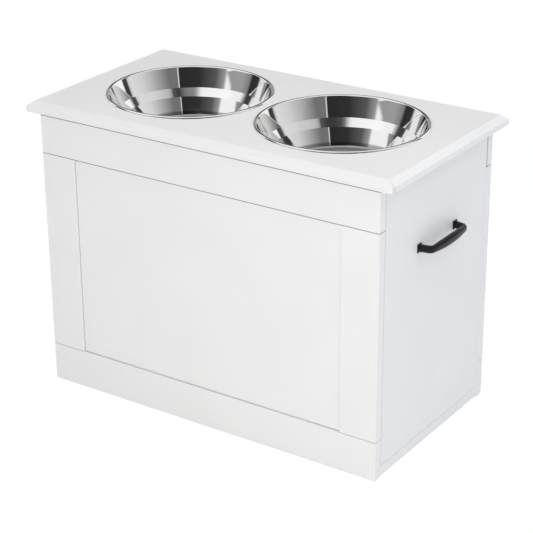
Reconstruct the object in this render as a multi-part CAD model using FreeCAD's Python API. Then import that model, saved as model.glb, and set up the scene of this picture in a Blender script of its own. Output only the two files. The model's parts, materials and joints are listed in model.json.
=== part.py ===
import FreeCAD, Part
import os
from math import atan2, cos, hypot, pi, sin

# Elevated dog feeder: a storage box of white boards, a lid that is hinged
# along the back edge, and two steel bowls that hang in the lid's cut-outs.
# Millimetres. Origin at the bottom centre, +X to the right, front towards -Y, +Z up.

# Box of boards
body_width = 548.0
body_depth = 300.0
body_height = 411.0
board_thickness = 15.0
rail_height = 57.0
stile_width = 56.0
panel_thickness = 12.0
bottom_lift = 2.0
back_slot_width = 2.5
rail_joint_gap = 0.5
side_joint_gap = 0.25
edge_ease = 0.8

# Lid
lid_thickness = 15.0
lid_side_overhang = 20.0
lid_end_overhang = 6.0
lid_chamfer_width = 9.0
lid_chamfer_drop = 7.0

# Room left round the bowls: to the box's front and back, to its ends, and between the two
bowl_edge_margin = 31.0
bowl_end_margin = 29.5
bowl_middle_gap = 13.0

# Bowls, with insets measured in from the rim and depths down from the top of the lid
bowl_bead_radius = 3.0
bowl_sheet = 0.9
bowl_step_inset = 16.0
bowl_step_depth = 26.0
bowl_well_inset = 23.5
bowl_well_depth = 37.5
bowl_floor_inset = 35.5
bowl_depth = 63.0
bowl_bend_radius = 3.0
bowl_floor_bend = 8.0
bowl_cutout_play = 0.6

# Bow handles on the side panels
handle_height = 299.6
handle_pitch = 96.0
handle_reach = 24.2
handle_foot_length = 10.6
handle_foot_height = 12.0
handle_foot_thickness = 1.4
handle_leg_lean = 3.0
handle_leg_thickness = 8.2
handle_leg_height = 9.8
handle_corner_thickness = 7.2
handle_corner_height = 9.8
handle_grip_thickness = 8.6
handle_grip_height = 13.2
handle_bow = 2.6
handle_corner_run = 4.5
handle_flare_run = 3.5

# Screws that hold the handles, put in from inside the box
handle_screw_radius = 2.0
handle_screw_grip = 6.0
handle_screw_head_radius = 4.0
handle_screw_head_height = 2.4

# Butt hinges with interleaved leaves under the lid
hinge_end_margin = 94.0
hinge_length = 60.0
hinge_body_length = 34.0
hinge_body_depth = 11.0
hinge_lid_depth = 26.0
hinge_leaf_thickness = 1.2
hinge_pin_radius = 1.25
hinge_knuckle_wall = 1.25
hinge_clearance = 0.3
hinge_running_play = 0.06
hinge_fixed_play = 0.02
hinge_pin_head_height = 0.8

# Countersunk wood screws in the hinges
hinge_screw_radius = 1.5
hinge_screw_head_radius = 2.7
hinge_screw_length = 12.0
hinge_body_screw_spread = 18.0
hinge_lid_screw_spread = 48.0

# Wooden dowels
dowel_radius = 3.0
dowel_length = 30.0
dowel_face_depth = 10.0
dowel_end_bevel = 0.8

# Cam fittings that pull the side panels against the frames
cam_reach = 24.0
cam_nut_radius = 7.4
cam_nut_depth = 12.0
cam_thread_radius = 3.0
cam_thread_depth = 11.0
cam_shaft_radius = 2.4
cam_head_radius = 3.4
cam_head_length = 4.0
cam_bore_play = 0.4

# Long screws that hold the bottom board to the side panels
bottom_screw_radius = 2.5
bottom_screw_head_radius = 4.8
bottom_screw_length = 45.0

# Soft dots that the lid closes on
bumper_radius = 4.0
bumper_inset = 22.0

# Play round everything that is let into wood, and how far cutting tools run past
hole_play = 0.1
overrun = 5.0

# Where fittings stand, as shares of the piece that carries them
cam_height_shares = (0.25, 0.75)
side_dowel_height_share = 0.5
panel_dowel_shares = (-0.35, 0.0, 0.35)
bottom_dowel_shares = (-0.35, 0.0, 0.35)
bottom_screw_shares = (-0.3, 0.0, 0.3)
cross_slot_width_share = 0.22
cross_slot_length_share = 1.2
cross_slot_depth_share = 0.35
section_corner_share = 0.28

# Places that follow from the sizes above
side = body_width / 2
front = -body_depth / 2
back = body_depth / 2
front_inner = front + board_thickness
back_inner = back - board_thickness
side_inner = side - board_thickness
side_middle = side - board_thickness / 2
top_joint = body_height - rail_height
bottom_top = bottom_lift + board_thickness
lid_gap = hinge_leaf_thickness + hinge_clearance
lid_bottom = body_height + lid_gap
lid_top = lid_bottom + lid_thickness
bowl_room_across = body_depth / 2 - bowl_edge_margin
bowl_room_along = (side - bowl_end_margin - bowl_middle_gap / 2) / 2
bowl_rim_radius = min(bowl_room_across, bowl_room_along)
bowl_offset = bowl_rim_radius + bowl_middle_gap / 2
bowl_mouth_radius = bowl_rim_radius - 2 * bowl_bead_radius
bowl_cutout_radius = bowl_mouth_radius + bowl_sheet + bowl_cutout_play
knuckle_radius = hinge_pin_radius + hinge_knuckle_wall
hinge_offset = side - hinge_end_margin
hinge_axis_y = back + hinge_clearance + knuckle_radius
hinge_axis_z = lid_bottom - hinge_clearance - knuckle_radius
side_names = {-1: "left", 1: "right"}
end_names = {-1: "front", 1: "back"}


def block(x_ends, y_ends, z_ends):
    """A plain box between the given pairs of coordinates, in any order."""
    low = [min(ends) for ends in (x_ends, y_ends, z_ends)]
    size = [abs(ends[1] - ends[0]) for ends in (x_ends, y_ends, z_ends)]
    return Part.makeBox(size[0], size[1], size[2], FreeCAD.Vector(*low))


def eased(shape):
    """The shape with all its edges rounded by the board's easing."""
    return shape.makeFillet(edge_ease, shape.Edges)


def aimed(shape, place, direction):
    """The shape, built on +Z from the origin, turned to a direction and set at a place."""
    turn = FreeCAD.Rotation(FreeCAD.Vector(0, 0, 1), FreeCAD.Vector(*direction))
    moved = shape.copy()
    moved.Placement = FreeCAD.Placement(FreeCAD.Vector(*place), turn)
    return moved


def rod(radius, length, start=0.0):
    """A cylinder on +Z that begins at start."""
    return Part.makeCylinder(radius, length, FreeCAD.Vector(0, 0, start))


def cone(low_radius, high_radius, height):
    """A cone frustum on +Z from the origin."""
    return Part.makeCone(low_radius, high_radius, height)


def cross_slot(radius, top):
    """The cross for a driver, cut down from the given height into a head of the given radius."""
    length = radius * cross_slot_length_share / 2
    half_width = radius * cross_slot_width_share / 2
    depth = radius * cross_slot_depth_share
    reach = (top - depth, top + overrun)
    one = block((-length, length), (-half_width, half_width), reach)
    other = block((-half_width, half_width), (-length, length), reach)
    return one.fuse(other)


def drilled(board, tools):
    """The board less every tool that reaches into it."""
    near = [tool for tool in tools if tool.BoundBox.intersect(board.BoundBox)]
    return board.cut(near).removeSplitter() if near else board


# Fasteners, each with the hole that takes it

def countersunk_screw(shank, head, length):
    """A wood screw on -Z whose flat head lies in the plane of the origin."""
    drop = head - shank
    body = cone(head, shank, drop).fuse(rod(shank, length - drop - shank, drop))
    body = body.fuse(cone(shank, shank / 2, shank).translated(FreeCAD.Vector(0, 0, length - shank)))
    turned = body.mirror(FreeCAD.Vector(), FreeCAD.Vector(0, 0, 1))
    return turned.cut(cross_slot(head, 0))


def countersunk_hole(shank, head, length):
    """The hole for that screw, open towards +Z."""
    drop = head - shank
    hole = cone(head + hole_play, shank + hole_play, drop)
    hole = hole.fuse(rod(shank + hole_play, length - drop + hole_play, drop))
    hole = hole.fuse(rod(head + hole_play, overrun, -overrun))
    return hole.mirror(FreeCAD.Vector(), FreeCAD.Vector(0, 0, 1))


def dowel():
    """A wooden dowel on +Z with bevelled ends."""
    middle = dowel_length - 2 * dowel_end_bevel
    end = cone(dowel_radius - dowel_end_bevel, dowel_radius, dowel_end_bevel)
    far = end.mirror(FreeCAD.Vector(0, 0, dowel_length / 2), FreeCAD.Vector(0, 0, 1))
    return end.fuse([rod(dowel_radius, middle, dowel_end_bevel), far]).removeSplitter()


def dowel_hole():
    """The hole for a dowel, a little longer at both ends."""
    return rod(dowel_radius + hole_play, dowel_length + 2 * hole_play, -hole_play)


def cam_bolt():
    """A cam bolt on +Z: its thread below the origin, its shaft and head above."""
    shaft_length = cam_reach - cam_head_length / 2
    thread = rod(cam_thread_radius, cam_thread_depth, -cam_thread_depth)
    shaft = rod(cam_shaft_radius, shaft_length)
    head = rod(cam_head_radius, cam_head_length, shaft_length)
    return thread.fuse([shaft, head])


def cam_bolt_hole():
    """The hole for a cam bolt, in the frame below the origin and in the panel above."""
    thread = rod(cam_thread_radius + hole_play, cam_thread_depth + hole_play, -cam_thread_depth - hole_play)
    return thread.fuse(rod(cam_head_radius + cam_bore_play, cam_reach + cam_head_length))


def cam_nut(bolt_place, bolt_direction, place, direction):
    """A cam nut that closes on a bolt's head, with a cross for the driver in its open face."""
    disc = rod(cam_nut_radius, cam_nut_depth).cut(cross_slot(cam_nut_radius, cam_nut_depth))
    return aimed(disc, place, direction).cut(aimed(cam_bolt_hole(), bolt_place, bolt_direction))


def handle_screw():
    """A round-head screw on +Z: its head lies below the origin, its shank above."""
    head = rod(handle_screw_head_radius, handle_screw_head_height, -handle_screw_head_height)
    crown = [edge for edge in head.Edges if edge.BoundBox.ZMax < -handle_screw_head_height / 2]
    head = head.makeFillet(handle_screw_head_height / 2, crown)
    slot = cross_slot(handle_screw_head_radius, handle_screw_head_height)
    head = head.cut(slot.mirror(FreeCAD.Vector(), FreeCAD.Vector(0, 0, 1)))
    return head.fuse(rod(handle_screw_radius, board_thickness + handle_screw_grip))


def handle_screw_hole():
    """The hole for a handle's screw, through the panel and into the foot."""
    length = board_thickness + handle_screw_grip + hole_play
    return rod(handle_screw_radius + hole_play, length + overrun, -overrun)


# Places of the fasteners: (place, direction) pairs

def cam_bolt_places():
    """Where each cam bolt leaves its frame, on the end of a side panel."""
    side_height = body_height - bottom_top
    heights = [bottom_top + share * side_height for share in cam_height_shares]
    return [((x * side_middle, y * (back - board_thickness), z), (0, -y, 0), x)
            for x in side_names for y in end_names for z in heights]


def side_dowel_places():
    """Dowels between the side panels and the frames, at the bottom rail and half-way up."""
    low = (bottom_top + rail_height) / 2
    half_way = bottom_top + side_dowel_height_share * (body_height - bottom_top)
    start = back_inner + dowel_face_depth
    return [((x * side_middle, y * start, z), (0, -y, 0))
            for x in side_names for y in end_names for z in (low, half_way)]


def frame_dowel_places():
    """Upright dowels between the rails and what stands between them."""
    panel_width = body_width - 2 * stile_width
    stile_middle = side - stile_width / 2
    board_middle = back - board_thickness / 2
    panel_middle = back_inner + panel_thickness / 2
    spots = [(x * stile_middle, board_middle) for x in side_names]
    spots += [(share * panel_width, panel_middle) for share in panel_dowel_shares]
    starts = (rail_height - dowel_length / 2, top_joint - dowel_length / 2)
    return [((x, end * y, z), (0, 0, 1)) for x, y in spots for end in end_names for z in starts]


def bottom_dowel_places():
    """Dowels between the bottom board and the two bottom rails."""
    z = bottom_lift + board_thickness / 2
    start = back_inner + dowel_face_depth
    return [((share * body_width, y * start, z), (0, -y, 0))
            for share in bottom_dowel_shares for y in end_names]


def bottom_screw_places():
    """Screws up through the bottom board into the side panels."""
    return [((x * side_middle, share * body_depth, bottom_lift), (0, 0, -1))
            for x in side_names for share in bottom_screw_shares]


def handle_screw_places(x):
    """The two screws of the handle on one side."""
    return [((x * side_inner, y * handle_pitch / 2, handle_height), (x, 0, 0)) for y in end_names]


def hinge_body_screw_places(x):
    """Screws through a hinge's body leaf into the back top rail."""
    y = back - hinge_body_depth / 2
    z = body_height + hinge_leaf_thickness
    return [((x * hinge_offset + dx * hinge_body_screw_spread / 2, y, z), (0, 0, 1)) for dx in (-1, 1)]


def hinge_lid_screw_places(x):
    """Screws through a hinge's lid leaf up into the lid."""
    y = back - (hinge_lid_depth + hinge_body_depth) / 2
    z = lid_bottom - hinge_leaf_thickness
    return [((x * hinge_offset + dx * hinge_lid_screw_spread / 2, y, z), (0, 0, -1)) for dx in (-1, 0, 1)]


def group(make, places):
    """One separate copy of a fastener at each place."""
    return Part.makeCompound([aimed(make, spot[0], spot[1]) for spot in places])


def wood_holes():
    """Every hole in the boards, for all the boards to be cut by."""
    tools = [aimed(cam_bolt_hole(), place, way) for place, way, x in cam_bolt_places()]
    pocket = rod(cam_nut_radius + hole_play, cam_nut_depth + hole_play + overrun, -overrun)
    tools += [aimed(pocket, cam_nut_place(place, way, x), (x, 0, 0)) for place, way, x in cam_bolt_places()]
    for places in (side_dowel_places(), frame_dowel_places(), bottom_dowel_places()):
        tools += [aimed(dowel_hole(), place, way) for place, way in places]
    bottom_hole = countersunk_hole(bottom_screw_radius, bottom_screw_head_radius, bottom_screw_length)
    tools += [aimed(bottom_hole, place, way) for place, way in bottom_screw_places()]
    hinge_hole = countersunk_hole(hinge_screw_radius, hinge_screw_head_radius, hinge_screw_length)
    for x in side_names:
        tools += [aimed(handle_screw_hole(), place, way) for place, way in handle_screw_places(x)]
        tools += [aimed(hinge_hole, place, way) for place, way in hinge_body_screw_places(x)]
        tools += [aimed(hinge_hole, place, way) for place, way in hinge_lid_screw_places(x)]
    return tools


def cam_nut_place(bolt_place, bolt_way, x):
    """The open face of the cam nut that holds a bolt, on the inside of its side panel."""
    return (x * side_inner, bolt_place[1] + bolt_way[1] * cam_reach, bolt_place[2])


# Boards

def frame_boards(end):
    """Rails, stiles and centre panel of the frame at the front (-1) or the back (+1)."""
    outer = end * back
    inner = end * back_inner
    slot = back_slot_width if end > 0 else 0.0
    name = end_names[end]
    stile_inner = side - stile_width
    between = (rail_height + rail_joint_gap, top_joint - rail_joint_gap)
    boards = {
        name + "_top_rail": block((-side, side), (inner + slot, outer), (top_joint, body_height)),
        name + "_bottom_rail": block((-side, side), (inner, outer), (0, rail_height)),
        name + "_panel": block((-stile_inner, stile_inner), (inner, inner + end * panel_thickness), between),
    }
    for x, label in side_names.items():
        boards[name + "_" + label + "_stile"] = block((x * side, x * stile_inner), (inner, outer), between)
    return boards


def box_boards():
    """The side panels and the bottom board between the frames."""
    bottom_ends = (front_inner, back_inner)
    boards = {"bottom_board": block((-side, side), bottom_ends, (bottom_lift, bottom_top))}
    side_ends = (front_inner + side_joint_gap, back_inner - side_joint_gap)
    heights = (bottom_top + side_joint_gap, body_height)
    for x, label in side_names.items():
        boards[label + "_side_panel"] = block((x * side, x * side_inner), side_ends, heights)
    return boards


def chamfered_outline(half_width, axis):
    """The lid's outline seen along one axis: a rectangle with its two top corners cut off."""
    low_corner = lid_top - lid_chamfer_drop
    half_top = half_width - lid_chamfer_width
    points = [(-half_width, lid_bottom), (half_width, lid_bottom), (half_width, low_corner),
              (half_top, lid_top), (-half_top, lid_top), (-half_width, low_corner)]
    points.append(points[0])
    if axis == "y":
        return Part.Face(Part.makePolygon([FreeCAD.Vector(u, 0, z) for u, z in points]))
    return Part.Face(Part.makePolygon([FreeCAD.Vector(0, u, z) for u, z in points]))


def top_board():
    """The lid: a board with chamfered upper edges and a round cut-out for each bowl."""
    half_x = side + lid_side_overhang
    half_y = back + lid_end_overhang
    along_y = chamfered_outline(half_x, "y").extrude(FreeCAD.Vector(0, 2 * half_y, 0))
    along_y.translate(FreeCAD.Vector(0, -half_y, 0))
    along_x = chamfered_outline(half_y, "x").extrude(FreeCAD.Vector(2 * half_x, 0, 0))
    along_x.translate(FreeCAD.Vector(-half_x, 0, 0))
    board = eased(along_y.common(along_x).removeSplitter())
    for x in side_names:
        hole = rod(bowl_cutout_radius, lid_thickness + 2 * overrun, lid_bottom - overrun)
        board = board.cut(hole.translated(FreeCAD.Vector(x * bowl_offset, 0, 0)))
    return board


# Bowls

def bowl_line():
    """The bowl's upper surface from its outer lip over the bead and down to the centre."""
    bead = bowl_bead_radius
    bead_middle = bowl_rim_radius - bead
    lip = FreeCAD.Vector(bowl_rim_radius, 0, lid_top)
    crest = FreeCAD.Vector(bead_middle, 0, lid_top + bead)
    mouth = FreeCAD.Vector(bowl_mouth_radius, 0, lid_top)
    corners = [
        mouth,
        FreeCAD.Vector(bowl_rim_radius - bowl_step_inset, 0, lid_top - bowl_step_depth),
        FreeCAD.Vector(bowl_rim_radius - bowl_well_inset, 0, lid_top - bowl_well_depth),
        FreeCAD.Vector(bowl_rim_radius - bowl_floor_inset, 0, lid_top - bowl_depth),
        FreeCAD.Vector(0, 0, lid_top - bowl_depth),
    ]
    bends = [bowl_bend_radius, bowl_bend_radius, bowl_floor_bend]
    return [Part.Arc(lip, crest, mouth).toShape()] + rounded_run(corners, bends)


def rounded_run(corners, bends):
    """Straight runs through the corners, with an arc of the given radius at each inner corner."""
    edges = []
    start = corners[0]
    for i, radius in enumerate(bends, 1):
        here = corners[i]
        before = (corners[i - 1] - here).normalize()
        after = (corners[i + 1] - here).normalize()
        half = before.getAngle(after) / 2
        bisector = (before + after).normalize()
        first = here + before * (radius * cos(half) / sin(half))
        last = here + after * (radius * cos(half) / sin(half))
        middle = here + bisector * (radius / sin(half) - radius)
        edges.append(Part.LineSegment(start, first).toShape())
        edges.append(Part.Arc(first, middle, last).toShape())
        start = last
    edges.append(Part.LineSegment(start, corners[-1]).toShape())
    return edges


def bowl(x):
    """A pressed steel bowl whose rolled rim rests on the lid."""
    line = Part.Wire(bowl_line())
    wall = line.makeOffset2D(bowl_sheet, 2, True, True)
    whole = wall.revolve(FreeCAD.Vector(), FreeCAD.Vector(0, 0, 1), 360)
    return whole.translated(FreeCAD.Vector(x * bowl_offset, 0, 0))


# Handles

def handle_stations():
    """Half of a handle's centre line, from the foot to the middle.

    Each station is ((out, along), direction, (thickness, height)), with out measured from
    the side panel, along from the handle's middle, and direction in the plane of the two.
    """
    mid_out = handle_reach - handle_grip_thickness / 2
    corner = (mid_out - handle_bow, handle_pitch / 2 - handle_leg_lean)
    foot = (handle_foot_thickness / 2, handle_pitch / 2)
    leg = (corner[0] - foot[0], corner[1] - foot[1])
    leg_length = hypot(*leg)
    leg_unit = (leg[0] / leg_length, leg[1] / leg_length)
    leg_turn = atan2(leg_unit[1], leg_unit[0])
    slope = 2 * handle_bow / corner[1]
    grip_turn = atan2(-1.0, slope)
    grip_unit = (cos(grip_turn), sin(grip_turn))
    leg_size = (handle_leg_thickness, handle_leg_height)
    corner_size = (handle_corner_thickness, handle_corner_height)
    foot_size = (handle_foot_length - 2 * edge_ease, handle_foot_height - 2 * edge_ease)
    grip_size = (handle_grip_thickness, handle_grip_height)

    def mixed(a, b, share):
        return a[0] + (b[0] - a[0]) * share, a[1] + (b[1] - a[1]) * share

    stations = []
    leg_run = leg_length - handle_corner_run
    flare = handle_flare_run / leg_run
    for share in (0.0, flare / 2, flare, (1 + flare) / 2):
        flared = max(0.0, 1 - share / flare) ** 2
        place = (foot[0] + leg_unit[0] * leg_run * share, foot[1] + leg_unit[1] * leg_run * share)
        size = mixed(mixed(leg_size, corner_size, share), foot_size, flared)
        stations.append((place, leg_turn * min(1.0, share / flare), size))
    turns = 4
    for i in range(turns + 1):
        t = i / turns
        a = (corner[0] - leg_unit[0] * handle_corner_run, corner[1] - leg_unit[1] * handle_corner_run)
        b = (corner[0] + grip_unit[0] * handle_corner_run, corner[1] + grip_unit[1] * handle_corner_run)
        place = mixed(mixed(a, corner, t), mixed(corner, b, t), t)
        stations.append((place, leg_turn + (grip_turn - leg_turn) * t, corner_size))
    start = stations[-1][0]
    steps = 4
    for i in range(1, steps + 1):
        t = i / steps
        along = start[1] * (1 - t)
        out = mid_out - (mid_out - start[0]) * (1 - t) ** 2
        turn = atan2(-1.0, 2 * (mid_out - start[0]) * (1 - t) / start[1])
        stations.append(((out, along), turn, mixed(corner_size, grip_size, 1 - (1 - t) ** 2)))
    return stations


def handle_section(x, place, turn, size):
    """An octagon across the handle's line: a rectangle with its corners cut off."""
    out, along = place
    thickness, height = size
    cut_share = 1 - 2 * section_corner_share
    ring = [(1, cut_share), (cut_share, 1), (-cut_share, 1), (-1, cut_share),
            (-1, -cut_share), (-cut_share, -1), (cut_share, -1), (1, -cut_share)]
    points = []
    for u, v in ring:
        off = u * thickness / 2
        spot = (out - off * sin(turn), along + off * cos(turn))
        points.append(FreeCAD.Vector(x * (side + spot[0]), spot[1], handle_height + v * height / 2))
    return Part.makePolygon(points + [points[0]])


def handle(x):
    """A bow handle of one casting: two flared feet, leaning legs and a grip that swells."""
    half = handle_stations()
    far = [((out, -along), -pi - turn, size) for (out, along), turn, size in reversed(half[:-1])]
    rings = [handle_section(x, place, turn, size) for place, turn, size in half + far]
    casting = Part.makeLoft(rings, True, False)
    for y in end_names:
        middle = y * handle_pitch / 2
        foot = block((x * side, x * (side + handle_foot_thickness)),
                     (middle - handle_foot_length / 2, middle + handle_foot_length / 2),
                     (handle_height - handle_foot_height / 2, handle_height + handle_foot_height / 2))
        casting = casting.fuse(foot.makeFillet(edge_ease / 2, foot.Edges))
    return drilled(casting, [aimed(handle_screw_hole(), place, way) for place, way in handle_screw_places(x)])


# Hinges

def hinge_rod(radius, low, high):
    """A cylinder on the hinge's axis, between two places along X."""
    place = FreeCAD.Vector(low, hinge_axis_y, hinge_axis_z)
    return Part.makeCylinder(radius, high - low, place, FreeCAD.Vector(1, 0, 0))


def hinge_body_leaf(x):
    """The leaf on the back top rail, with the middle knuckle."""
    low = x * hinge_offset - hinge_body_length / 2
    high = low + hinge_body_length
    top = body_height + hinge_leaf_thickness
    leaf = block((low, high), (back - hinge_body_depth, hinge_axis_y), (body_height, top))
    tools = [hinge_rod(hinge_pin_radius + hinge_fixed_play, low - overrun, high + overrun)]
    hole = countersunk_hole(hinge_screw_radius, hinge_screw_head_radius, hinge_screw_length)
    tools += [aimed(hole, place, way) for place, way in hinge_body_screw_places(x)]
    return leaf.fuse(hinge_rod(knuckle_radius, low, high)).cut(tools).removeSplitter()


def hinge_lid_leaf(x):
    """The leaf under the lid, forked round the other one, with the two outer knuckles."""
    low = x * hinge_offset - hinge_length / 2
    high = low + hinge_length
    notch = (x * hinge_offset - hinge_body_length / 2 - hinge_clearance,
             x * hinge_offset + hinge_body_length / 2 + hinge_clearance)
    plate = block((low, high), (back - hinge_lid_depth, hinge_axis_y),
                  (lid_bottom - hinge_leaf_thickness, lid_bottom))
    gap = block(notch, (back - hinge_body_depth - hinge_clearance, hinge_axis_y + overrun),
                (lid_bottom - overrun, lid_bottom + overrun))
    knuckles = [hinge_rod(knuckle_radius, low, notch[0]), hinge_rod(knuckle_radius, notch[1], high)]
    tools = [hinge_rod(hinge_pin_radius + hinge_running_play, low - overrun, high + overrun)]
    hole = countersunk_hole(hinge_screw_radius, hinge_screw_head_radius, hinge_screw_length)
    tools += [aimed(hole, place, way) for place, way in hinge_lid_screw_places(x)]
    return plate.cut(gap).fuse(knuckles).cut(tools).removeSplitter()


def hinge_pin(x):
    """The pin through a hinge's knuckles, with a small head outside each end."""
    low = x * hinge_offset - hinge_length / 2 - hinge_clearance
    high = x * hinge_offset + hinge_length / 2 + hinge_clearance
    head_radius = hinge_pin_radius + hinge_knuckle_wall / 2
    heads = [hinge_rod(head_radius, low - hinge_pin_head_height, low),
             hinge_rod(head_radius, high, high + hinge_pin_head_height)]
    return hinge_rod(hinge_pin_radius, low, high).fuse(heads).removeSplitter()


def lid_bumpers():
    """Soft dots on the front top rail, as thick as the gap under the lid."""
    dot = rod(bumper_radius, lid_gap)
    upper = [edge for edge in dot.Edges if edge.BoundBox.ZMin > lid_gap / 2]
    dot = dot.makeFillet(lid_gap / 4, upper)
    middle = (front + front_inner) / 2
    places = [((x * (side - bumper_inset), middle, body_height), (0, 0, 1)) for x in side_names]
    return group(dot, places)


# Everything together

def cam_nuts():
    """One nut for each cam bolt."""
    nuts = []
    for place, way, x in cam_bolt_places():
        face = cam_nut_place(place, way, x)
        deep = (face[0] + x * cam_nut_depth, face[1], face[2])
        nuts.append(cam_nut(place, way, deep, (-x, 0, 0)))
    return Part.makeCompound(nuts)


def all_nodes():
    """Every named piece of the feeder."""
    holes = wood_holes()
    boards = {}
    for end in end_names:
        boards.update(frame_boards(end))
    boards.update(box_boards())
    nodes = {name: drilled(eased(board), holes) for name, board in boards.items()}
    nodes["top_board"] = drilled(top_board(), holes)
    bottom_screw = countersunk_screw(bottom_screw_radius, bottom_screw_head_radius, bottom_screw_length)
    hinge_screw = countersunk_screw(hinge_screw_radius, hinge_screw_head_radius, hinge_screw_length)
    for x, label in side_names.items():
        nodes[label + "_bowl"] = bowl(x)
        nodes[label + "_handle"] = handle(x)
        nodes[label + "_handle_screws"] = group(handle_screw(), handle_screw_places(x))
        nodes[label + "_hinge_body_leaf"] = hinge_body_leaf(x)
        nodes[label + "_hinge_lid_leaf"] = hinge_lid_leaf(x)
        nodes[label + "_hinge_pin"] = hinge_pin(x)
        nodes[label + "_hinge_body_screws"] = group(hinge_screw, hinge_body_screw_places(x))
        nodes[label + "_hinge_lid_screws"] = group(hinge_screw, hinge_lid_screw_places(x))
    nodes["frame_dowels"] = group(dowel(), frame_dowel_places())
    nodes["side_dowels"] = group(dowel(), side_dowel_places())
    nodes["bottom_dowels"] = group(dowel(), bottom_dowel_places())
    nodes["cam_bolts"] = group(cam_bolt(), cam_bolt_places())
    nodes["cam_nuts"] = cam_nuts()
    nodes["bottom_screws"] = group(bottom_screw, bottom_screw_places())
    nodes["lid_bumpers"] = lid_bumpers()
    return nodes


os.makedirs("parts", exist_ok=True)
for node_name, shape in all_nodes().items():
    if not shape.isValid():
        print(node_name, "is not valid")
    shape.exportStep(os.path.join("parts", node_name + ".step"))
    box = shape.BoundBox
    print(f"{node_name}: {len(shape.Solids)} solids, {shape.Volume / 1000:.1f} cm3,"
          f" x {box.XMin:.1f} {box.XMax:.1f} y {box.YMin:.1f} {box.YMax:.1f} z {box.ZMin:.1f} {box.ZMax:.1f}")
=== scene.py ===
import json
from math import cos, pi, radians, sin, tan

import bmesh
import bpy
from mathutils import Matrix, Vector


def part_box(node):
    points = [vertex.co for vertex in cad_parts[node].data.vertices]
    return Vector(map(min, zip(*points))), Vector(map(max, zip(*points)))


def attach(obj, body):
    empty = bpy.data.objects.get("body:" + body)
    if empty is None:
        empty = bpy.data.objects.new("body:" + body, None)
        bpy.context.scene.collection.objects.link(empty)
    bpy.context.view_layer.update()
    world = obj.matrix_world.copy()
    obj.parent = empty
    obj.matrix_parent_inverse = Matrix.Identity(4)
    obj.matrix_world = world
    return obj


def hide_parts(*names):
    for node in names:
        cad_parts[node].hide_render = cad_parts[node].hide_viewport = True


# Looks, light and camera of the elevated dog feeder. Metres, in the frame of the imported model.

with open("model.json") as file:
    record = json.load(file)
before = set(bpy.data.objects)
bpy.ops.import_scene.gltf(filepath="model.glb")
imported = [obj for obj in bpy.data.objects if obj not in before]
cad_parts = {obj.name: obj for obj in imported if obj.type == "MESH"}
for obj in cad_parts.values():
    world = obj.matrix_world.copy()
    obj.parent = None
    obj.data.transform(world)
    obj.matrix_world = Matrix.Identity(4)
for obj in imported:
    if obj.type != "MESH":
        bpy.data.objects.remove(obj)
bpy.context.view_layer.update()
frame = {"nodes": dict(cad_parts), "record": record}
cad = frame["nodes"]

lid_low, lid_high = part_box("top_board")
LID_TOP = lid_high.z


# Node helpers

NOISE_LOW, NOISE_HIGH = 0.3, 0.7  # the span that a noise texture mostly fills


def new_node(tree, kind, **values):
    """A node of the given kind, with properties and input values set by name."""
    node = tree.nodes.new(kind)
    for name, value in values.items():
        if hasattr(node, name):
            setattr(node, name, value)
        else:
            node.inputs[name.replace("_", " ")].default_value = value
    return node


def math(tree, operation, a, b=None):
    """A Math node; a and b are sockets or numbers. Returns its output."""
    node = tree.nodes.new("ShaderNodeMath")
    node.operation = operation
    for socket, value in zip(node.inputs, (a, b)):
        if value is None:
            continue
        if isinstance(value, (int, float)):
            socket.default_value = value
        else:
            tree.links.new(value, socket)
    return node.outputs[0]


def mapped(tree, value, low, high, to_low, to_high):
    """The value moved from one range to another, clamped."""
    node = tree.nodes.new("ShaderNodeMapRange")
    for name, number in zip(("From Min", "From Max", "To Min", "To Max"), (low, high, to_low, to_high)):
        node.inputs[name].default_value = number
    tree.links.new(value, node.inputs["Value"])
    return node.outputs[0]


def spread(tree, value, low, high):
    """Noise spread over a range of numbers."""
    return mapped(tree, value, NOISE_LOW, NOISE_HIGH, low, high)


def ramp(tree, value, stops):
    """A colour ramp through (position, grey or colour) stops."""
    node = tree.nodes.new("ShaderNodeValToRGB")
    elements = node.color_ramp.elements
    while len(elements) < len(stops):
        elements.new(0.5)
    for element, (position, colour) in zip(elements, stops):
        element.position = position
    for element, (position, colour) in zip(elements, stops):
        rgb = (colour,) * 3 if isinstance(colour, (int, float)) else colour
        element.color = (*rgb, 1.0)
    tree.links.new(value, node.inputs["Fac"])
    return node.outputs["Color"]


def blend(tree, value, low, high):
    """Noise as a blend of two colours."""
    return ramp(tree, value, [(NOISE_LOW, low), (NOISE_HIGH, high)])


def mixed(tree, factor, a, b):
    """A colour mix; a and b are sockets or colours."""
    node = tree.nodes.new("ShaderNodeMix")
    node.data_type = "RGBA"
    tree.links.new(factor, node.inputs[0])
    for socket, value in ((node.inputs[6], a), (node.inputs[7], b)):
        if isinstance(value, tuple):
            socket.default_value = (*value, 1.0)
        else:
            tree.links.new(value, socket)
    return node.outputs[2]


def split(tree, vector):
    """The three parts of a vector socket."""
    node = tree.nodes.new("ShaderNodeSeparateXYZ")
    tree.links.new(vector, node.inputs[0])
    return node.outputs


def noise(tree, vector, scale, detail=2.0, roughness=0.5):
    """Noise texture at a scale in cycles per metre."""
    node = new_node(tree, "ShaderNodeTexNoise", Scale=scale, Detail=detail, Roughness=roughness)
    tree.links.new(vector, node.inputs["Vector"])
    return node.outputs["Fac"]


def stretched(tree, vector, scales):
    """Coordinates stretched by a scale per axis, for streaks."""
    node = new_node(tree, "ShaderNodeMapping")
    node.inputs["Scale"].default_value = scales
    tree.links.new(vector, node.inputs["Vector"])
    return node.outputs[0]


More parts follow.
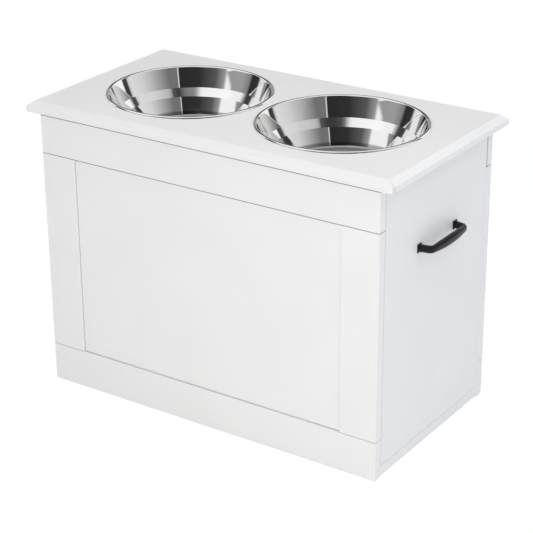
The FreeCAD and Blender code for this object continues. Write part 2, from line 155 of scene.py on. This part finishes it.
def material(name, colour, roughness, metallic=0.0):
    """A material with a Principled shader; returns it with its tree, shader and coordinates."""
    made = bpy.data.materials.new(name)
    made.use_nodes = True
    made.diffuse_color = (*colour, 1.0)
    tree = made.node_tree
    shader = tree.nodes["Principled BSDF"]
    shader.inputs["Base Color"].default_value = (*colour, 1.0)
    shader.inputs["Roughness"].default_value = roughness
    shader.inputs["Metallic"].default_value = metallic
    where = tree.nodes.new("ShaderNodeTexCoord").outputs["Object"]
    return made, tree, shader, where


def bump(tree, shader, height, strength, distance):
    """A bump from a height socket."""
    node = new_node(tree, "ShaderNodeBump", Strength=strength, Distance=distance)
    tree.links.new(height, node.inputs["Height"])
    tree.links.new(node.outputs["Normal"], shader.inputs["Normal"])


def grey(tone):
    """A neutral colour."""
    return (tone, tone, tone)


# Materials

X_AXIS, Y_AXIS, Z_AXIS = 0, 1, 2

PAINT = (0.84, 0.84, 0.835)
PAINT_DARK, PAINT_LIGHT = (0.826, 0.826, 0.820), (0.848, 0.848, 0.843)
# Greys mixed into the paint: joint lines, partly raw board ends and partly painted shade; painted shade and
# painted shadow lines; painted shade on the lid's front bevel
SEAM_SHADE_TONE, SIDE_SEAM_SHADE_TONE, BEVEL_SHADE_TONE = 0.24, 0.5, 0.75
SEAM_BLUE = 0.995  # the blue share of a seam's grey
SEAM_FADE = 0.0001

STEEL = (0.90, 0.90, 0.895)
SPUN_DARK, SPUN_LIGHT = 0.33, 0.43  # the dull spun floor
SPUN_FADE = 0.0014
INSIDE_LOW, INSIDE_HIGH = 0.0005, 0.0002  # under the floor's upper face, so that its underside stays bright

CASTING = (0.0068, 0.0072, 0.0102)
CASTING_DARK, CASTING_LIGHT = (0.0055, 0.0058, 0.0085), (0.0082, 0.0086, 0.0120)
CAST_ZINC = (0.52, 0.52, 0.53)
CAST_ZINC_DARK, CAST_ZINC_LIGHT = (0.42, 0.42, 0.43), (0.56, 0.56, 0.57)
BEECH = (0.60, 0.40, 0.22)
BEECH_DARK, BEECH_LIGHT = (0.47, 0.29, 0.15), (0.68, 0.48, 0.28)
ALONG_GRAIN, ACROSS_GRAIN = 90.0, 1400.0
DOT = (0.78, 0.78, 0.77)
DOT_DARK, DOT_LIGHT = (0.74, 0.74, 0.73), (0.82, 0.82, 0.81)
TARNISH = 0.86  # how dark the plating's clouds are


def painted_board(name, shade_bands=(), tone=SEAM_SHADE_TONE):
    """White satin paint on fibreboard, with bands in another tone: painted shade, and in the joints also the
    raw board ends. Bands are (axis, place, half width).
    """
    made, tree, shader, where = material(name, PAINT, roughness=0.42)
    cloud = noise(tree, where, scale=9.0, detail=3.0)
    peel = noise(tree, where, scale=520.0, detail=3.0, roughness=0.6)
    grain = noise(tree, where, scale=2600.0)
    tint = blend(tree, cloud, PAINT_DARK, PAINT_LIGHT)
    parts = split(tree, where)
    # Each band mixes a grey into the paint: painted shade or painted shadow, and at joints also the raw board
    # ends
    for axis, place, half in shade_bands:
        away = math(tree, "ABSOLUTE", math(tree, "SUBTRACT", parts[axis], place))
        in_shade_band = mapped(tree, away, half - SEAM_FADE, half, 1.0, 0.0)
        tint = mixed(tree, in_shade_band, tint, (tone, tone, SEAM_BLUE * tone))
    tree.links.new(tint, shader.inputs["Base Color"])
    tree.links.new(spread(tree, peel, 0.37, 0.47), shader.inputs["Roughness"])
    height = math(tree, "ADD", math(tree, "MULTIPLY", peel, 0.7), math(tree, "MULTIPLY", grain, 0.3))
    bump(tree, shader, height, strength=0.10, distance=0.0002)
    return made


def bowl_steel(centre_x, floor, spun_radius):
    """Mirror-polished steel with the faint rings of spinning, and a duller spun floor."""
    made, tree, shader, where = material("bowl_steel", STEEL, roughness=0.05, metallic=1.0)
    x, y, z = split(tree, where)
    dx = math(tree, "SUBTRACT", x, centre_x)
    squares = math(tree, "ADD", math(tree, "MULTIPLY", dx, dx), math(tree, "MULTIPLY", y, y))
    radius = math(tree, "SQRT", squares)
    ring = tree.nodes.new("ShaderNodeCombineXYZ")
    tree.links.new(radius, ring.inputs[0])
    tree.links.new(z, ring.inputs[1])
    lines = noise(tree, ring.outputs[0], scale=1500.0, detail=3.0, roughness=0.7)
    smear = noise(tree, where, scale=30.0, detail=3.0, roughness=0.6)
    rough = math(tree, "ADD", spread(tree, lines, 0.015, 0.035), mapped(tree, smear, 0.3, 0.8, 0.0, 0.015))
    tree.links.new(rough, shader.inputs["Roughness"])
    bump(tree, shader, lines, strength=0.012, distance=0.0001)
    streaks = noise(tree, ring.outputs[0], scale=420.0, detail=3.0, roughness=0.6)
    tone = spread(tree, streaks, SPUN_DARK, SPUN_LIGHT)
    disc = tree.nodes.new("ShaderNodeCombineXYZ")
    for socket in disc.inputs:
        tree.links.new(tone, socket)
    inside = mapped(tree, z, floor - INSIDE_LOW, floor - INSIDE_HIGH, 0.0, 1.0)
    near = mapped(tree, radius, spun_radius, spun_radius + SPUN_FADE, 1.0, 0.0)
    spun = math(tree, "MULTIPLY", inside, near)
    tree.links.new(mixed(tree, spun, STEEL, disc.outputs[0]), shader.inputs["Base Color"])
    return made


def black_casting():
    """Satin black powder coat on a zinc casting."""
    made, tree, shader, where = material("black_casting", CASTING, roughness=0.32)
    shader.inputs["Specular IOR Level"].default_value = 0.22
    grit = noise(tree, where, scale=2400.0)
    patch = noise(tree, where, scale=60.0)
    tree.links.new(blend(tree, patch, CASTING_DARK, CASTING_LIGHT), shader.inputs["Base Color"])
    tree.links.new(spread(tree, grit, 0.27, 0.38), shader.inputs["Roughness"])
    bump(tree, shader, grit, strength=0.12, distance=0.0001)
    return made


def plated(name, colour, roughness, streak):
    """Plated steel with fine drawn streaks and cloudy plating."""
    made, tree, shader, where = material(name, colour, roughness, metallic=1.0)
    lines = noise(tree, stretched(tree, where, streak), scale=1.0, detail=3.0, roughness=0.6)
    cloud = noise(tree, where, scale=160.0, detail=3.0)
    dark = tuple(c * TARNISH for c in colour)
    tree.links.new(ramp(tree, cloud, [(NOISE_LOW, dark), (0.65, colour)]), shader.inputs["Base Color"])
    tree.links.new(spread(tree, lines, roughness - 0.06, roughness + 0.08), shader.inputs["Roughness"])
    bump(tree, shader, lines, strength=0.08, distance=0.0001)
    return made


def cast_zinc():
    """Bare zinc die casting: grey, grainy, slightly mottled."""
    made, tree, shader, where = material("zinc_cast", CAST_ZINC, roughness=0.45, metallic=1.0)
    grain = noise(tree, where, scale=1800.0, detail=3.0, roughness=0.7)
    mottle = noise(tree, where, scale=220.0, detail=3.0)
    tree.links.new(blend(tree, mottle, CAST_ZINC_DARK, CAST_ZINC_LIGHT), shader.inputs["Base Color"])
    tree.links.new(spread(tree, grain, 0.38, 0.55), shader.inputs["Roughness"])
    bump(tree, shader, grain, strength=0.2, distance=0.0002)
    return made


def bare_beech(axis):
    """Bare beech with grain and short dark flecks along the dowel."""
    made, tree, shader, where = material("bare_wood", BEECH, roughness=0.6)
    scales = tuple(ALONG_GRAIN if i == axis else ACROSS_GRAIN for i in range(3))
    grain = noise(tree, stretched(tree, where, scales), scale=1.0, detail=4.0, roughness=0.65)
    stops = [(NOISE_LOW, BEECH_DARK), (0.5, BEECH), (NOISE_HIGH, BEECH_LIGHT)]
    tree.links.new(ramp(tree, grain, stops), shader.inputs["Base Color"])
    tree.links.new(spread(tree, grain, 0.52, 0.70), shader.inputs["Roughness"])
    bump(tree, shader, grain, strength=0.3, distance=0.0002)
    return made


def soft_dot():
    """Pale, slightly see-through soft plastic."""
    made, tree, shader, where = material("soft_dot", DOT, roughness=0.3)
    shader.inputs["Subsurface Weight"].default_value = 0.3
    shader.inputs["Subsurface Radius"].default_value = (0.002, 0.002, 0.002)
    haze = noise(tree, where, scale=900.0)
    tree.links.new(blend(tree, haze, DOT_DARK, DOT_LIGHT), shader.inputs["Base Color"])
    tree.links.new(spread(tree, haze, 0.24, 0.36), shader.inputs["Roughness"])
    return made


def dress(name, made):
    """Gives a CAD node one material."""
    slots = cad[name].data.materials
    slots.clear()
    slots.append(made)


# White boards with painted shade: dark joint lines, partly the raw board ends and partly painted shade;
# painted shadow on the panel under the top rail and on the rail under the lid; painted shade in the panel's
# corners, along the side panels' joints and on the lid's front bevel

JOINT_HALF = 0.00035      # half width of a joint's dark line, partly painted shade
JOINT_OFFSET = 0.0001     # from a stile's end to the joint's line
# Painted shade in the recessed panel's corners by the stiles, and a painted shadow on the panel under the top
# rail
PANEL_CORNER_SHADE_HALF = 0.0006
PANEL_SHADOW_DROP, PANEL_SHADOW_HALF = 0.0008, 0.0010
LID_SHADOW_DROP, LID_SHADOW_HALF = 0.0011, 0.0009  # a painted shadow line under the lid; it stops short of the rail's top face
BEVEL_SHADE_MIDDLE, BEVEL_SHADE_HALF = 0.0046, 0.0043      # painted shade on the lid's front bevel, measured back from its front face

stile_low, stile_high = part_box("front_left_stile")
panel_low, panel_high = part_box("front_panel")
rail_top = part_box("front_top_rail")[1].z
side_low, side_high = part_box("right_side_panel")
# Dark joint lines at the stiles' ends: partly the raw board ends, partly painted shade
low_joint_shade = (Z_AXIS, stile_low.z - JOINT_OFFSET, JOINT_HALF)
high_joint_shade = (Z_AXIS, stile_high.z + JOINT_OFFSET, JOINT_HALF)

board = painted_board("white_board")
frame_joint_shaded = painted_board("white_board_framed", (low_joint_shade, high_joint_shade))
# Painted shade in the panel's corners and painted shadow under the top rail
panel_shaded = painted_board("white_board_panel", (
    low_joint_shade, (Z_AXIS, panel_high.z - PANEL_SHADOW_DROP, PANEL_SHADOW_HALF),
    (X_AXIS, panel_low.x, PANEL_CORNER_SHADE_HALF), (X_AXIS, panel_high.x, PANEL_CORNER_SHADE_HALF)))
# Painted shadow on the top rail under the lid's edge
lid_shadowed = painted_board("white_board_top_rail", [(Z_AXIS, rail_top - LID_SHADOW_DROP, LID_SHADOW_HALF)])
# Painted shade along the side panels' joints with the frames and along their bottom edges
side_joint_shaded = painted_board("white_board_side", [
    (Y_AXIS, side_low.y, JOINT_HALF), (Y_AXIS, side_high.y, JOINT_HALF),
    (Z_AXIS, side_low.z, JOINT_HALF)], SIDE_SEAM_SHADE_TONE)
# Painted shade on the lid's front bevel
bevel_shaded = painted_board("white_board_lid", [(Y_AXIS, lid_low.y + BEVEL_SHADE_MIDDLE, BEVEL_SHADE_HALF)], BEVEL_SHADE_TONE)

PAINTED = {"front_panel": panel_shaded, "back_panel": panel_shaded, "front_top_rail": lid_shadowed,
           "left_side_panel": side_joint_shaded, "right_side_panel": side_joint_shaded, "top_board": bevel_shaded}
METALS = {"zinc_steel": plated("zinc_steel", (0.66, 0.66, 0.65), 0.32, (900.0, 900.0, 500.0)),
          "hinge_steel": plated("hinge_steel", (0.72, 0.71, 0.69), 0.28, (300.0, 2200.0, 2200.0)),
          "black_casting": black_casting()}
wood_up = bare_beech(Z_AXIS)
wood_deep = bare_beech(Y_AXIS)
for entry in frame["record"]["subparts"]:
    node, slot = entry["node"], entry["material_slot"]
    if slot in METALS:
        dress(node, METALS[slot])
    elif slot == "white_board":
        plain = frame_joint_shaded if node.startswith(("front_", "back_")) else board
        dress(node, PAINTED.get(node, plain))
dress("cam_nuts", cast_zinc())
dress("frame_dowels", wood_up)
dress("side_dowels", wood_deep)
dress("bottom_dowels", wood_deep)
dress("lid_bumpers", soft_dot())


# Bowls: lathed finely, because a mirror shows every facet

SHEET = 0.0009
BEAD_HALF = 0.0027
BEAD_TURN, BEAD_STEPS = 158, 24           # degrees from the bead's outer foot over its top to the wall
STEP_INSET, STEP_DEPTH = 0.016, 0.026     # insets from the rim, depths from the lid's top
WELL_INSET, WELL_DEPTH = 0.0235, 0.0375
FLOOR_INSET = 0.0355
BENDS = (0.003, 0.003, 0.004)
WALL_BOW = 0.00012
SPUN_PAST = 0.0023                        # how far the dull zone runs up past the floor's edge
FLOOR_RINGS = 8
SEGMENTS = 256
ON_AXIS = 1e-6
CREASE = radians(50)


def rounded(corners, bends, steps=10):
    """Straight runs through corners with an arc at each inner corner."""
    points = [corners[0]]
    for i, radius in enumerate(bends, 1):
        here = Vector(corners[i])
        before = (Vector(corners[i - 1]) - here).normalized()
        after = (Vector(corners[i + 1]) - here).normalized()
        half = before.angle(after) / 2
        middle = here + (before + after).normalized() * (radius / sin(half))
        first = here + before * (radius / tan(half)) - middle
        last = here + after * (radius / tan(half)) - middle
        turn = first.angle_signed(last)
        for k in range(steps + 1):
            points.append(tuple(middle + Matrix.Rotation(-turn * k / steps, 2) @ first))
    points.append(corners[-1])
    return points


def sagged(line, depth, steps=8):
    """The line with its first straight run bowed outwards by a depth, as spinning leaves a long wall."""
    start, end = Vector(line[0]), Vector(line[1])
    out = Vector((start.y - end.y, end.x - start.x)).normalized()
    bowed = []
    for k in range(steps):
        share = k / steps
        bowed.append(tuple(start.lerp(end, share) + out * depth * 4 * share * (1 - share)))
    return bowed + line[1:]


def thickened(line, sheet):
    """The line's outline as a sheet, offset to its lower side, in (radius, height)."""
    lower = []
    for i, point in enumerate(line):
        before = Vector(line[max(i - 1, 0)])
        after = Vector(line[min(i + 1, len(line) - 1)])
        along = (after - before).normalized()
        lower.append((point[0] - along.y * sheet, point[1] + along.x * sheet))
    lower[-1] = (0.0, lower[-1][1])
    return lower


def lathe(name, rings, segments, centre_x):
    """A closed surface of revolution through (radius, height) points, in order round the section."""
    mesh = bpy.data.meshes.new(name)
    shape = bmesh.new()
    loops = []
    for radius, height in rings:
        if radius < ON_AXIS:
            loops.append([shape.verts.new((centre_x, 0.0, height))])
            continue
        loops.append([shape.verts.new((centre_x + radius * cos(2 * pi * k / segments),
                                       radius * sin(2 * pi * k / segments), height)) for k in range(segments)])
    for upper, lower in zip(loops, loops[1:] + loops[:1]):
        for k in range(segments):
            after = (k + 1) % segments
            if len(upper) == 1 and len(lower) == 1:
                break
            if len(upper) == 1:
                shape.faces.new((upper[0], lower[k], lower[after]))
            elif len(lower) == 1:
                shape.faces.new((upper[k], lower[0], upper[after]))
            else:
                shape.faces.new((upper[k], lower[k], lower[after], upper[after]))
    bmesh.ops.recalc_face_normals(shape, faces=shape.faces)
    shape.to_mesh(mesh)
    shape.free()
    mesh.shade_smooth()
    mesh.set_sharp_from_angle(angle=CREASE)
    made = bpy.data.objects.new(name, mesh)
    bpy.context.scene.collection.objects.link(made)
    return made


def bowl(side):
    """A pressed bowl whose bead rests on the lid: steep wall, step, second wall and flat floor."""
    low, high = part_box(side + "_bowl")
    centre_x = (low.x + high.x) / 2
    rim = (high.x - low.x) / 2
    bead = high.z - LID_TOP
    floor = low.z + SHEET
    turns = [radians(BEAD_TURN * i / BEAD_STEPS) for i in range(BEAD_STEPS + 1)]
    crown = [(rim - BEAD_HALF + BEAD_HALF * cos(turn), LID_TOP + bead * sin(turn)) for turn in turns]
    corners = [crown[-1], (rim - STEP_INSET, LID_TOP - STEP_DEPTH), (rim - WELL_INSET, LID_TOP - WELL_DEPTH),
               (rim - FLOOR_INSET, floor), (0.0, floor)]
    line = crown[:-1] + sagged(rounded(corners, BENDS), WALL_BOW)
    edge = line[-2][0]
    line = line[:-1] + [(edge * (1 - i / FLOOR_RINGS), floor) for i in range(1, FLOOR_RINGS)] + [(0.0, floor)]
    made = lathe(side + "_bowl_pressing", line + thickened(line, SHEET)[::-1], SEGMENTS, centre_x)
    made.data.materials.append(bowl_steel(centre_x, floor, rim - FLOOR_INSET + SPUN_PAST))
    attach(made, side + "_bowl")
    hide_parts(side + "_bowl")


bowl("left")
bowl("right")


# Floor, background and light

FLOOR_REACH = 8
FLOOR_PAINT = (0.88, 0.88, 0.88)
FLOOR_GLOW, GLOW_SHARE = 1.02, 0.95  # for the camera and mirrors; the share left over shows the shadow

CAMERA_TURN, CAMERA_RISE, CAMERA_ROLL = 34.311, 23.712, -0.479  # degrees

SCREEN_WHITE, GAMMA = 255, 2.2
STEEL_SHARE = 0.945  # of a panel's light, the share that comes back from the bowls

# A mirror's surroundings in three height bands, as (degrees round the object, tone in the bowl) pairs:
# 0 is the front, 90 the right. A tall lamp shows as the thin bright line near 54.
LOW_PANELS = [
    (-180, 145), (-112, 145), (-98, 225), (-84, 215), (-80, 55), (-66, 45), (-61, 125), (-48, 150),
    (-20, 145), (0, 90), (12, 65), (30, 50), (53.4, 45), (53.7, 225), (54.5, 225), (54.8, 105),
    (66, 105), (82, 150), (112, 200), (134, 215), (139, 195), (141, 65), (149, 60), (151.5, 240)]
MIDDLE_PANELS = [
    (-180, 60), (-108, 60), (-101, 240), (-86, 170), (-83.5, 75), (-75, 60), (-70, 75), (-65, 170),
    (-60, 235), (-22, 235), (-18, 145), (-4, 85), (22, 50), (54.1, 45), (54.4, 225), (55.2, 225),
    (55.5, 110), (70, 110), (90, 160), (114, 205), (134, 215), (139.5, 195), (142, 80), (148.5, 70),
    (152, 190), (156, 220)]
HIGH_PANELS = [
    (-180, 50), (-112, 50), (-103, 235), (-50, 250), (12, 235), (17, 220), (27, 110), (33, 75), (44, 60),
    (60, 60), (71.5, 85), (73.5, 145), (80, 180), (106, 205), (126, 225), (165, 200), (170, 190), (176, 50)]
LOW_TO_MIDDLE = (19.8, 20.8)  # degrees up, where one band gives way to the next
MIDDLE_TO_HIGH = (34, 38)
HIGH_TO_CEILING = (47, 51)
CEILING, CEILING_BEHIND = 0.85, 0.05
AWAY_LEFT, AWAY_BACK = 0.563, 0.826  # the level direction in which the camera looks
BEHIND_FROM, BEHIND_TO = 0.47, 0.53  # a ray's share in that direction, where the ceiling ends
SOFT_LIGHT = 0.52  # the grey that lights everything, and that neither mirrors nor the camera see

AIM = (0, 0, 0.2)
WHITE, COOL = (1.0, 1.0, 1.0), (0.76, 0.92, 1.28)
LAMPS = (  # name, place, width, height, power, colour
    ("key", (0.18, -2.10, 1.73), 0.6, 0.6, 11.5, WHITE),
    ("near_right", (0.94, -1.20, 0.69), 1.2, 1.0, 4.7, WHITE),
    ("above_right", (0.79, -0.24, 1.70), 1.2, 1.0, 5.6, WHITE),
    ("above", (-0.35, 0.05, 2.20), 1.2, 1.0, 6.5, WHITE),
    ("low_fill", (1.98, 0.92, 0.36), 1.2, 0.5, 3.9, COOL),
)

SENSOR, FOCAL_PIXELS, PHOTO_WIDTH = 36.0, 1719.47, 533
VIEW_HEIGHT, VIEW_DISTANCE, VIEW_RIGHT, VIEW_DOWN = 0.210, 2.44073, 0.00159, 0.01864
CLIP_END = 50.0


def white_floor():
    """A white floor that shows as plain white, with only a trace of the object's shadow."""
    mesh = bpy.data.meshes.new("floor")
    corners = [(-FLOOR_REACH, -FLOOR_REACH, 0), (FLOOR_REACH, -FLOOR_REACH, 0),
               (FLOOR_REACH, FLOOR_REACH, 0), (-FLOOR_REACH, FLOOR_REACH, 0)]
    mesh.from_pydata(corners, [], [(0, 1, 2, 3)])
    made = bpy.data.objects.new("floor", mesh)
    bpy.context.scene.collection.objects.link(made)
    paint, tree, shader, _ = material("floor_white", FLOOR_PAINT, roughness=0.9)
    shader.inputs["Specular IOR Level"].default_value = 0.0
    path = tree.nodes.new("ShaderNodeLightPath")
    seen = math(tree, "MAXIMUM", path.outputs["Is Camera Ray"],
                math(tree, "MAXIMUM", path.outputs["Is Glossy Ray"], path.outputs["Is Transmission Ray"]))
    glow = new_node(tree, "ShaderNodeEmission", Strength=FLOOR_GLOW)
    glow.inputs["Color"].default_value = (1, 1, 1, 1)
    mix = tree.nodes.new("ShaderNodeMixShader")
    tree.links.new(math(tree, "MULTIPLY", seen, GLOW_SHARE), mix.inputs[0])
    tree.links.new(shader.outputs[0], mix.inputs[1])
    tree.links.new(glow.outputs[0], mix.inputs[2])
    tree.links.new(mix.outputs[0], tree.nodes["Material Output"].inputs["Surface"])
    mesh.materials.append(paint)


def panels(tree, spot, band):
    """A band of panels round the object, from tones as they show in the bowls."""
    return ramp(tree, spot, [((angle + 180) / 360, (tone / SCREEN_WHITE / STEEL_SHARE) ** GAMMA)
                             for angle, tone in band])


def risen(tree, height, degrees):
    """0 below and 1 above a pair of heights in degrees."""
    return mapped(tree, height, radians(degrees[0]), radians(degrees[1]), 0.0, 1.0)


def studio():
    """White to the camera, soft white light for everything, and a studio's panels for mirrors."""
    world = bpy.data.worlds.new("studio")
    bpy.context.scene.world = world
    world.use_nodes = True
    tree = world.node_tree
    tree.nodes.clear()
    x, y, z = split(tree, tree.nodes.new("ShaderNodeTexCoord").outputs["Generated"])
    turn = math(tree, "ARCTAN2", x, math(tree, "MULTIPLY", y, -1.0))
    height = math(tree, "ARCSINE", z)
    spot = math(tree, "ADD", math(tree, "DIVIDE", turn, 2 * pi), 0.5)
    mirror = mixed(tree, risen(tree, height, LOW_TO_MIDDLE),
                   panels(tree, spot, LOW_PANELS), panels(tree, spot, MIDDLE_PANELS))
    mirror = mixed(tree, risen(tree, height, MIDDLE_TO_HIGH), mirror, panels(tree, spot, HIGH_PANELS))
    behind = math(tree, "SUBTRACT", math(tree, "MULTIPLY", y, AWAY_BACK), math(tree, "MULTIPLY", x, AWAY_LEFT))
    far = mapped(tree, behind, BEHIND_FROM, BEHIND_TO, 0.0, 1.0)
    ceiling = mixed(tree, far, grey(CEILING), grey(CEILING_BEHIND))
    mirror = mixed(tree, risen(tree, height, HIGH_TO_CEILING), mirror, ceiling)
    path = tree.nodes.new("ShaderNodeLightPath")
    colour = mixed(tree, path.outputs["Is Glossy Ray"], grey(SOFT_LIGHT), mirror)
    colour = mixed(tree, path.outputs["Is Camera Ray"], colour, WHITE)
    back = new_node(tree, "ShaderNodeBackground", Strength=1.0)
    tree.links.new(colour, back.inputs["Color"])
    out = tree.nodes.new("ShaderNodeOutputWorld")
    tree.links.new(back.outputs[0], out.inputs["Surface"])


def softbox(name, place, width, height, power, colour):
    """A rectangular lamp at a place, aimed at the object's middle."""
    data = bpy.data.lights.new(name, "AREA")
    data.shape = "RECTANGLE"
    data.size = width
    data.size_y = height
    data.energy = power
    data.color = colour
    made = bpy.data.objects.new(name, data)
    bpy.context.scene.collection.objects.link(made)
    made.location = place
    made.rotation_euler = (Vector(AIM) - Vector(place)).to_track_quat("-Z", "Y").to_euler()
    made.visible_glossy = False
    made.visible_camera = False


def camera():
    """The photograph's viewpoint: a long lens from the right front corner, a little above."""
    turn, rise, roll = radians(CAMERA_TURN), radians(CAMERA_RISE), radians(CAMERA_ROLL)
    back = Vector((sin(turn) * cos(rise), -cos(turn) * cos(rise), sin(rise)))
    level = Vector((0, 0, 1)).cross(back).normalized()
    upright = back.cross(level)
    right = cos(roll) * level + sin(roll) * upright
    up = cos(roll) * upright - sin(roll) * level
    place = Vector((0, 0, VIEW_HEIGHT)) + back * VIEW_DISTANCE + right * VIEW_RIGHT - up * VIEW_DOWN
    data = bpy.data.cameras.new("camera")
    data.sensor_fit = "HORIZONTAL"
    data.sensor_width = SENSOR
    data.lens = SENSOR * FOCAL_PIXELS / PHOTO_WIDTH
    data.clip_end = CLIP_END
    made = bpy.data.objects.new("camera", data)
    bpy.context.scene.collection.objects.link(made)
    made.matrix_world = Matrix((
        (right.x, up.x, back.x, place.x), (right.y, up.y, back.y, place.y),
        (right.z, up.z, back.z, place.z), (0, 0, 0, 1)))
    bpy.context.scene.camera = made


white_floor()
studio()
for lamp in LAMPS:
    softbox(*lamp)
camera()
bpy.context.scene.view_settings.view_transform = "Standard"
